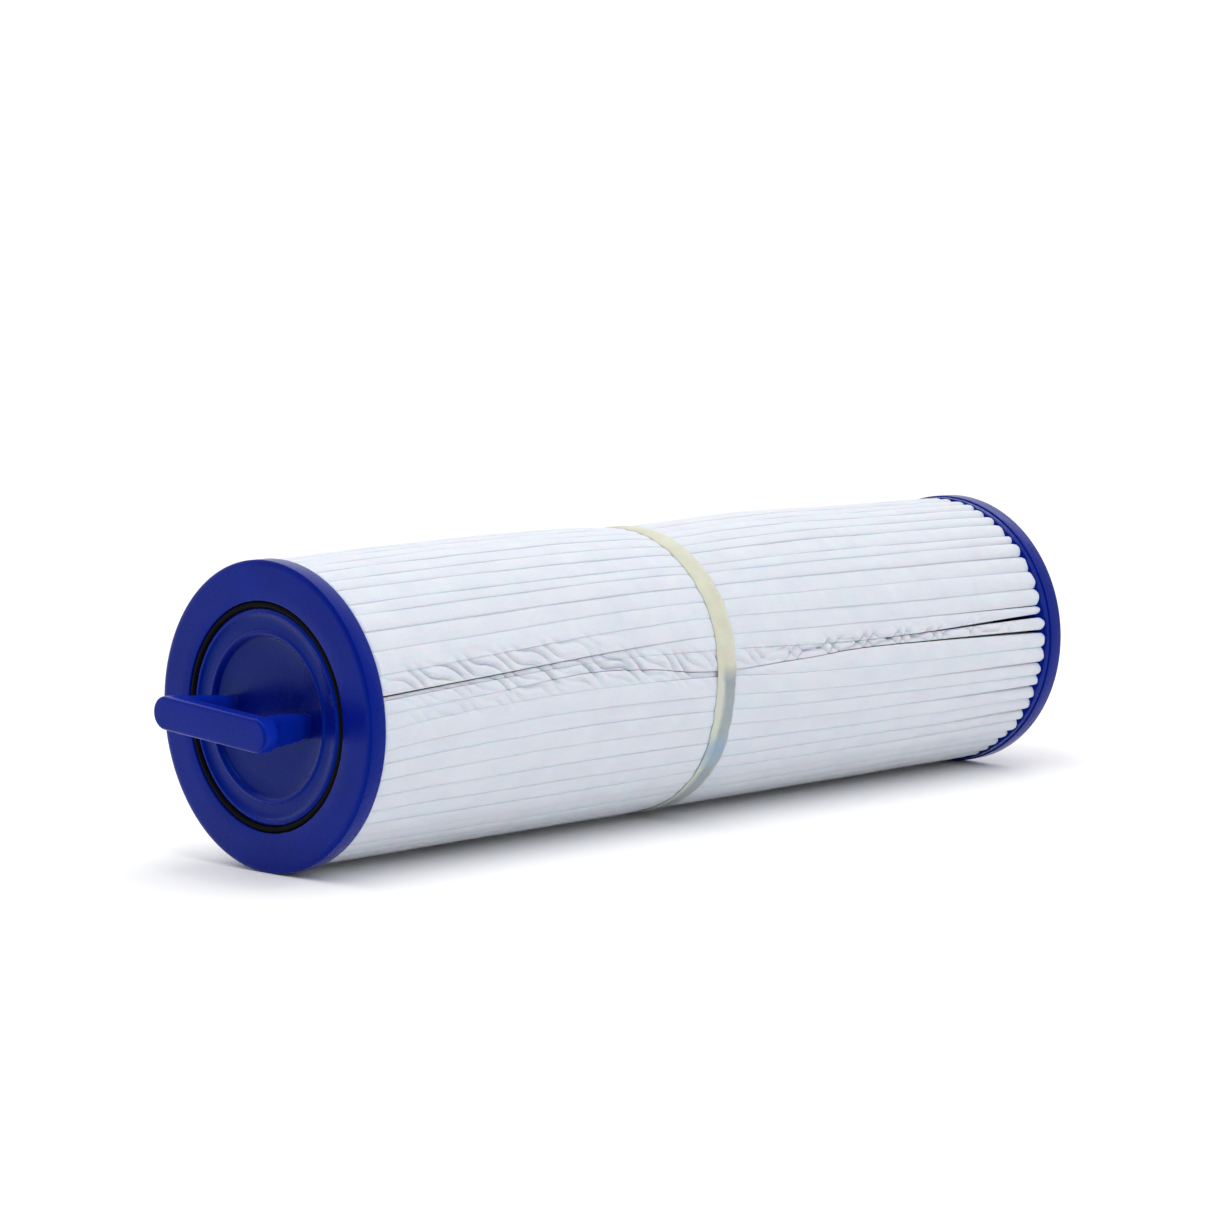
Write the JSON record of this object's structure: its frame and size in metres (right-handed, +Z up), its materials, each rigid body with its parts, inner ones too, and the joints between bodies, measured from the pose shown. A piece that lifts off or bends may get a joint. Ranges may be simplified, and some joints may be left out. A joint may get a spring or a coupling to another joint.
{
  "type": "filter cartridge",
  "caption": "Cylindrical pleated water filter cartridge for a pool or spa, with a bridge grip on one end cap and a threaded outlet on the other.",
  "frame": {"origin": "middle of the cartridge's length and width, on the surface that the two cap rims lie on", "axes": "+X along the cartridge from the grip to the threaded outlet, +Z up with the cartridge on its side"},
  "size_m": [0.4878, 0.1254, 0.1254],
  "materials": {
    "cap_blue": "satin cast polyurethane, slightly rubbery",
    "handle_blue": "semi-gloss injection-moulded",
    "seal_black": "dull black rubber",
    "fleece_white": "spunbonded polyester fleece, lightly bonded surface",
    "seam_glue": "hot-melt adhesive",
    "band_cream": "pale yellow translucent hot-melt band",
    "core_white": "moulded polypropylene"
  },
  "bodies": {
    "root": {"handle_end_cap": "cap_blue", "rear_end_cap": "cap_blue", "handle_disc": "handle_blue", "grip_handle": "handle_blue", "threaded_outlet": "handle_blue", "seal_ring": "seal_black", "pleated_media": "fleece_white", "pleat_seam": "seam_glue", "centre_band": "band_cream", "core_section_1": "core_white", "core_section_2": "core_white", "core_section_3": "core_white", "core_section_4": "core_white"}
  },
  "joints": []
}
